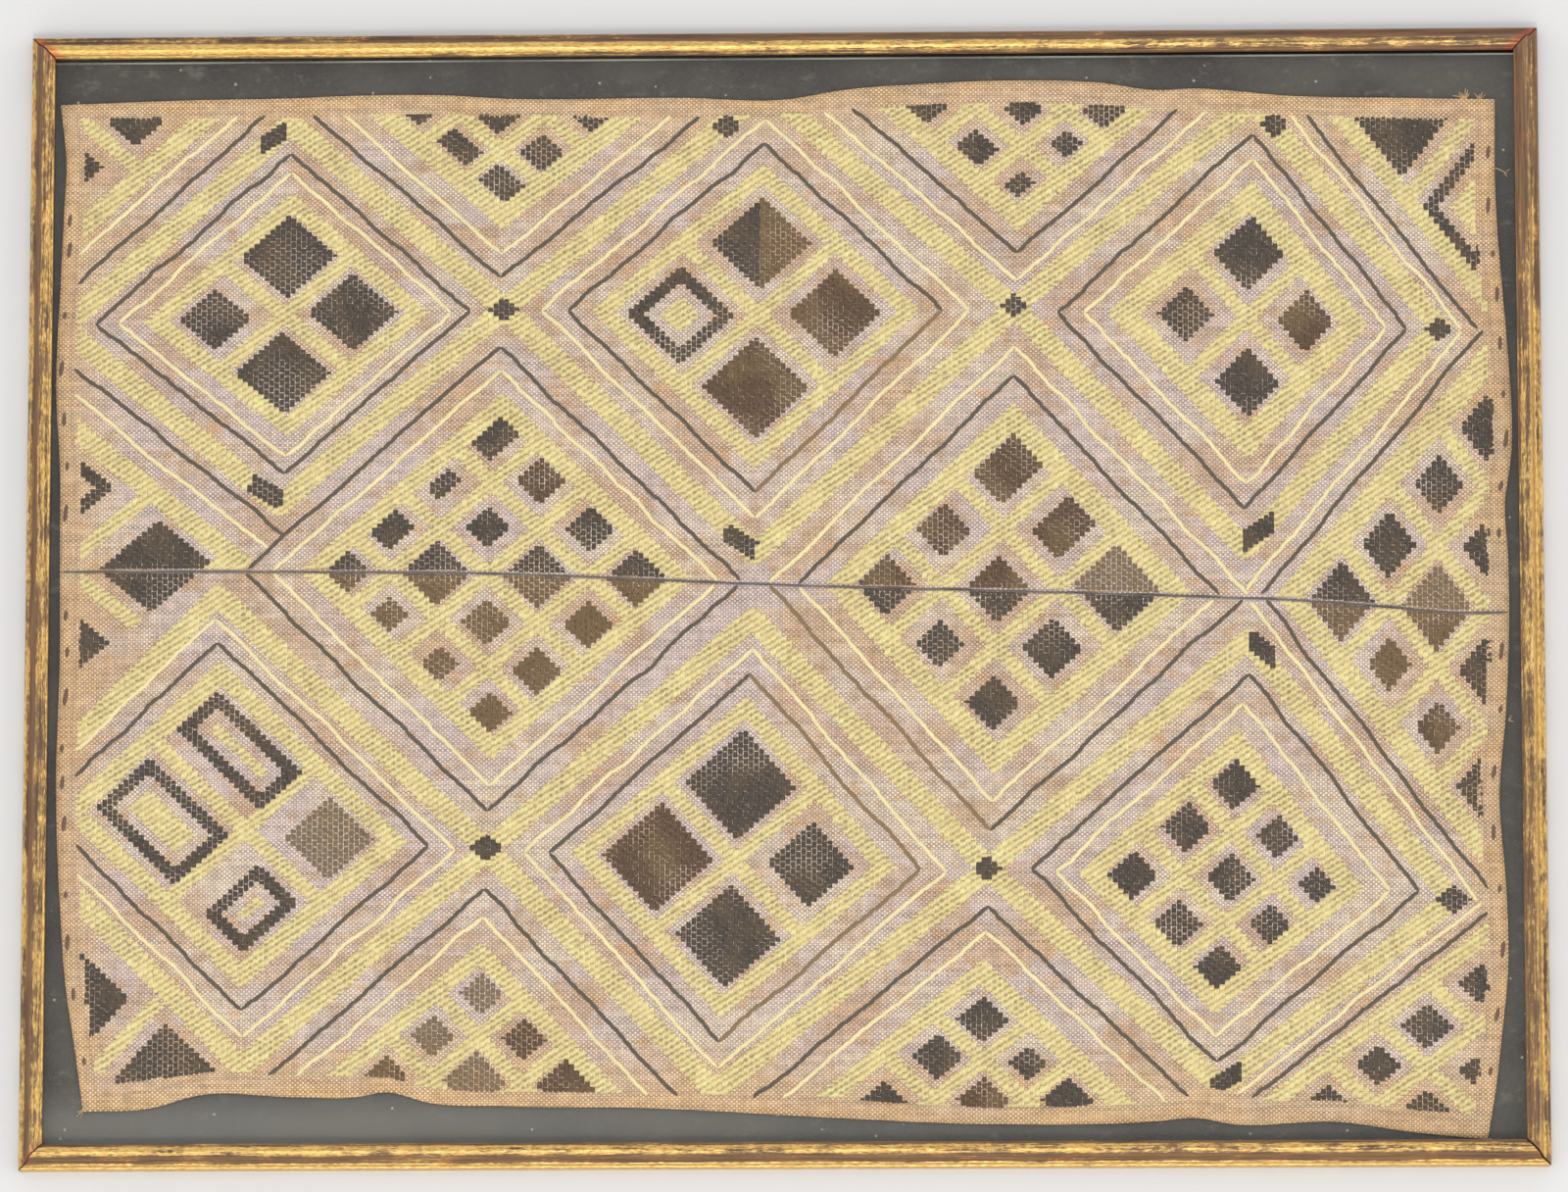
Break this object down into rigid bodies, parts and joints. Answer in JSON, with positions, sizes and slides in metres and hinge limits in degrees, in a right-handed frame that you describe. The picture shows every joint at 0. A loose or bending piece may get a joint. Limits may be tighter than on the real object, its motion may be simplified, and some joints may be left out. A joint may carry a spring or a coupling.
{
  "type": "cut-pile raffia textile in a glazed picture frame",
  "caption": "Flat raffia cloth with a cut-pile lozenge lattice, on a charcoal board behind glass in a thin worn gilt moulding, lying on its back.",
  "frame": {"origin": "centre of the frame's back, on the surface that it lies on", "axes": "+X along the long side, to the picture's right; +Y to the picture's top; +Z out of the glass"},
  "size_m": [0.7, 0.53, 0.016],
  "materials": {
    "gilt_wood": "worn gilding over red bole",
    "pane": "clear",
    "board": "matt charcoal, dusty",
    "raffia": "woven, with short cut pile"
  },
  "bodies": {
    "root": {"rail_top": "gilt_wood", "rail_bottom": "gilt_wood", "rail_left": "gilt_wood", "rail_right": "gilt_wood", "glass_pane": "pane", "backing_board": "board", "cloth_upper": "raffia", "cloth_lower": "raffia"}
  },
  "joints": []
}
